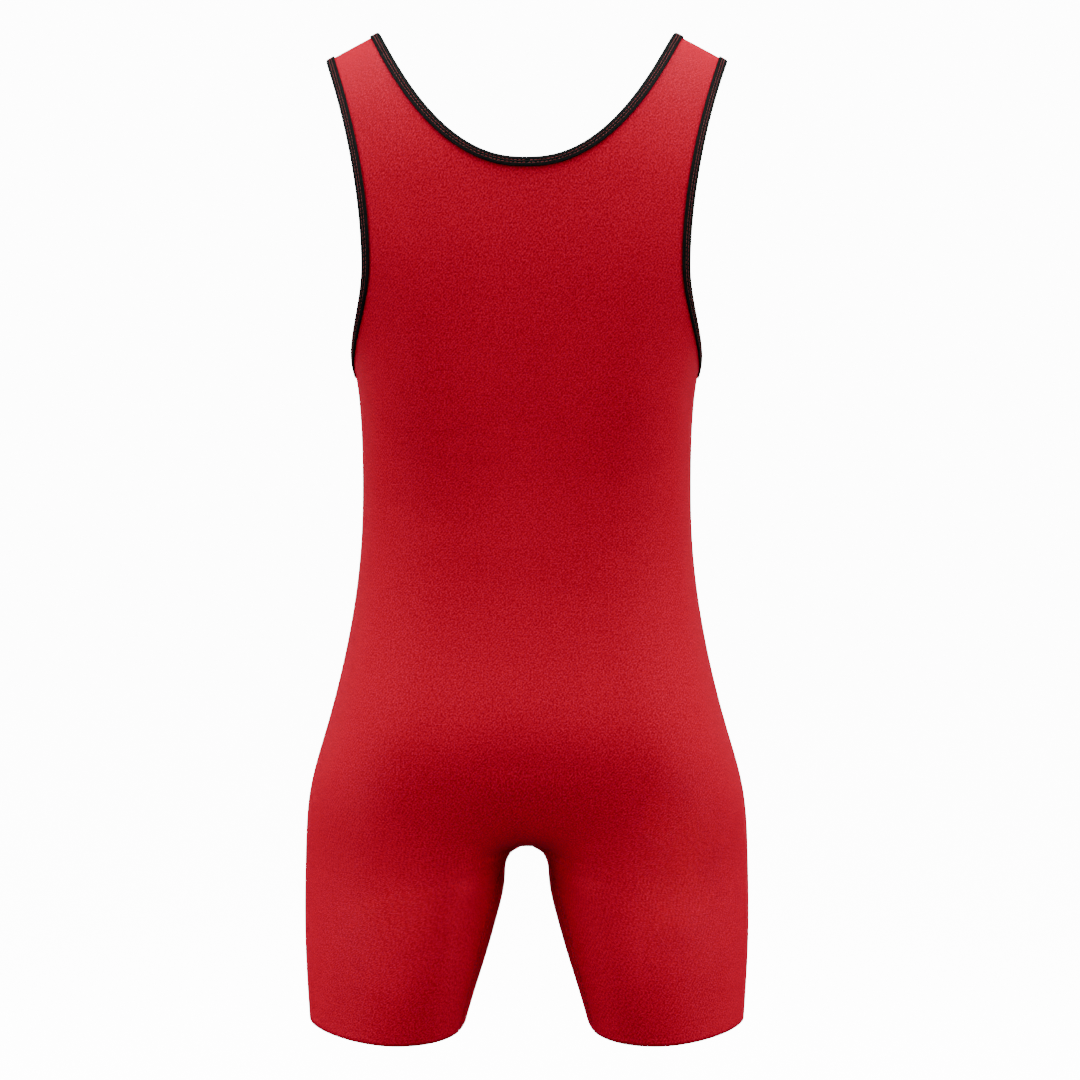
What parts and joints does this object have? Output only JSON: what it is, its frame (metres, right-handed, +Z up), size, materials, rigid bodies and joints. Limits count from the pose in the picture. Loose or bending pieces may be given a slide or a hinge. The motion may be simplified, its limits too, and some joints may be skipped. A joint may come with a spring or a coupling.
{
  "type": "wrestling singlet",
  "caption": "Sleeveless one-piece stretch wrestling singlet with scooped neck, bound neck and armholes and short legs, filled out as worn with nobody in it.",
  "frame": {"origin": "midway between the two shoulder straps, level with the underside of their ridge at the neck edge, where the wearer's shoulders hold the garment up", "axes": "+Z up, +Y towards the back of the garment, +X towards the side that lies left in a picture taken from behind"},
  "size_m": [0.3544, 0.2325, 0.7862],
  "materials": {
    "red_knit": "fine stretch knit with a soft sheen",
    "black_binding": "folded stretch knit strip, matte"
  },
  "bodies": {
    "root": {"back_panel": "red_knit", "front_panel": "red_knit", "neck_binding": "black_binding", "armhole_binding_left": "black_binding", "armhole_binding_right": "black_binding"}
  },
  "joints": []
}
